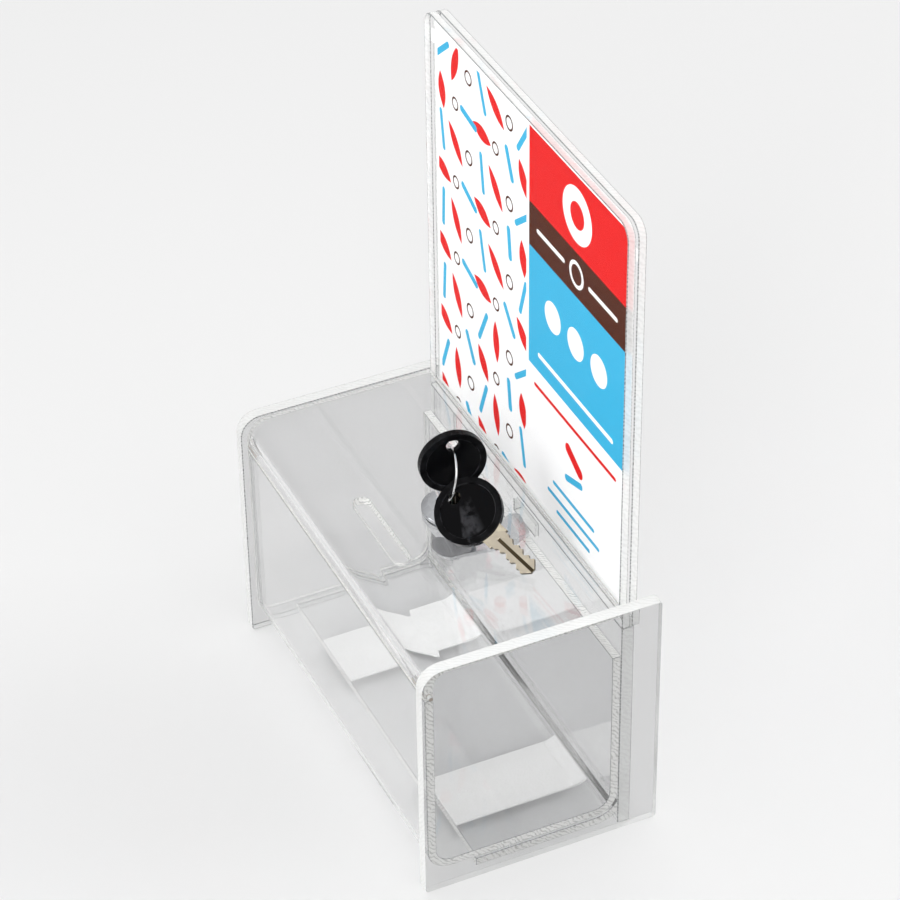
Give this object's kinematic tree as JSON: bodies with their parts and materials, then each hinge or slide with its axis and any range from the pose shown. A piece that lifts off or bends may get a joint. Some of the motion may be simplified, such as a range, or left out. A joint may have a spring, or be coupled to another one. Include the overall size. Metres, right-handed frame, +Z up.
{
  "type": "donation box",
  "caption": "Clear countertop donation box: hinged lid with a money slot and cam lock, raised sign header behind, two keys on a wire ring.",
  "frame": {"origin": "middle of the footprint on the table", "axes": "+Z up towards the top of the sign header, +X along the box to the right end panel, -Y towards the front"},
  "size_m": [0.162, 0.09, 0.2515],
  "materials": {
    "clear_acrylic": "clear polished cast sheet with saw-cut edges",
    "white_foam": "matt closed-cell foam tape",
    "printed_card": "smooth printed card",
    "steel_pin": "plain drawn steel",
    "chrome_lock": "polished chrome plate",
    "zinc_plate": "bright zinc plate",
    "brass_wafer": "stamped brass",
    "black_plastic": "glossy moulded",
    "key_nickel": "nickel plate over brass, cut edges",
    "ring_wire": "bright drawn wire"
  },
  "bodies": {
    "box": {"left_end_panel": "clear_acrylic", "right_end_panel": "clear_acrylic", "body_shell": "clear_acrylic", "back_panel": "clear_acrylic", "foot_shelf": "clear_acrylic", "foam_strip_left": "white_foam", "foam_strip_right": "white_foam", "header_front_sheet": "clear_acrylic", "header_rear_sheet": "clear_acrylic", "pocket_spacer": "clear_acrylic", "pocket_pads": "white_foam", "hinge_pin_left": "steel_pin", "hinge_pin_right": "steel_pin"},
    "sign": {"sign_card": "printed_card"},
    "lid": {"lid": "clear_acrylic", "lock_housing": "chrome_lock", "lock_washer": "zinc_plate", "lock_nut": "zinc_plate"},
    "lock_core": {"lock_plug": "chrome_lock", "lock_wafers": "brass_wafer", "cam": "zinc_plate", "cam_washer": "zinc_plate", "cam_screw": "zinc_plate"},
    "key": {"key_bow": "black_plastic", "key_blade": "key_nickel"},
    "ring": {"key_ring": "ring_wire"},
    "spare_key": {"spare_key_bow": "black_plastic", "spare_key_blade": "key_nickel"}
  },
  "joints": [
    {"name": "lid_hinge", "type": "hinge", "parent": "box", "child": "lid", "pos_m": [0, -0.0412, 0.0872], "axis": [1, 0, 0], "range_deg": [0, 100]},
    {"name": "sign_slide", "type": "slide", "parent": "box", "child": "sign", "axis": [0, 0, 1], "range_m": [0, 0.15]},
    {"name": "lock_turn", "type": "hinge", "parent": "lid", "child": "lock_core", "pos_m": [0.003, 0.00312, 0.0986], "axis": [0, 0, 1], "range_deg": [-82, 8]},
    {"name": "key_pull", "type": "slide", "parent": "lock_core", "child": "key", "axis": [0, 0, 1], "range_m": [0, 0.02]},
    {"name": "ring_turn", "type": "hinge", "parent": "key", "child": "ring", "pos_m": [0.00263, 0.00051, 0.11497], "axis": [-0.1347, -0.9587, 0.2504], "range_deg": [0, 40]},
    {"name": "spare_key_swing", "type": "hinge", "parent": "ring", "child": "spare_key", "pos_m": [0.01258, -0.00157, 0.11234], "axis": [-0.29, -0.2035, -0.9352], "range_deg": [0, 35]}
  ]
}
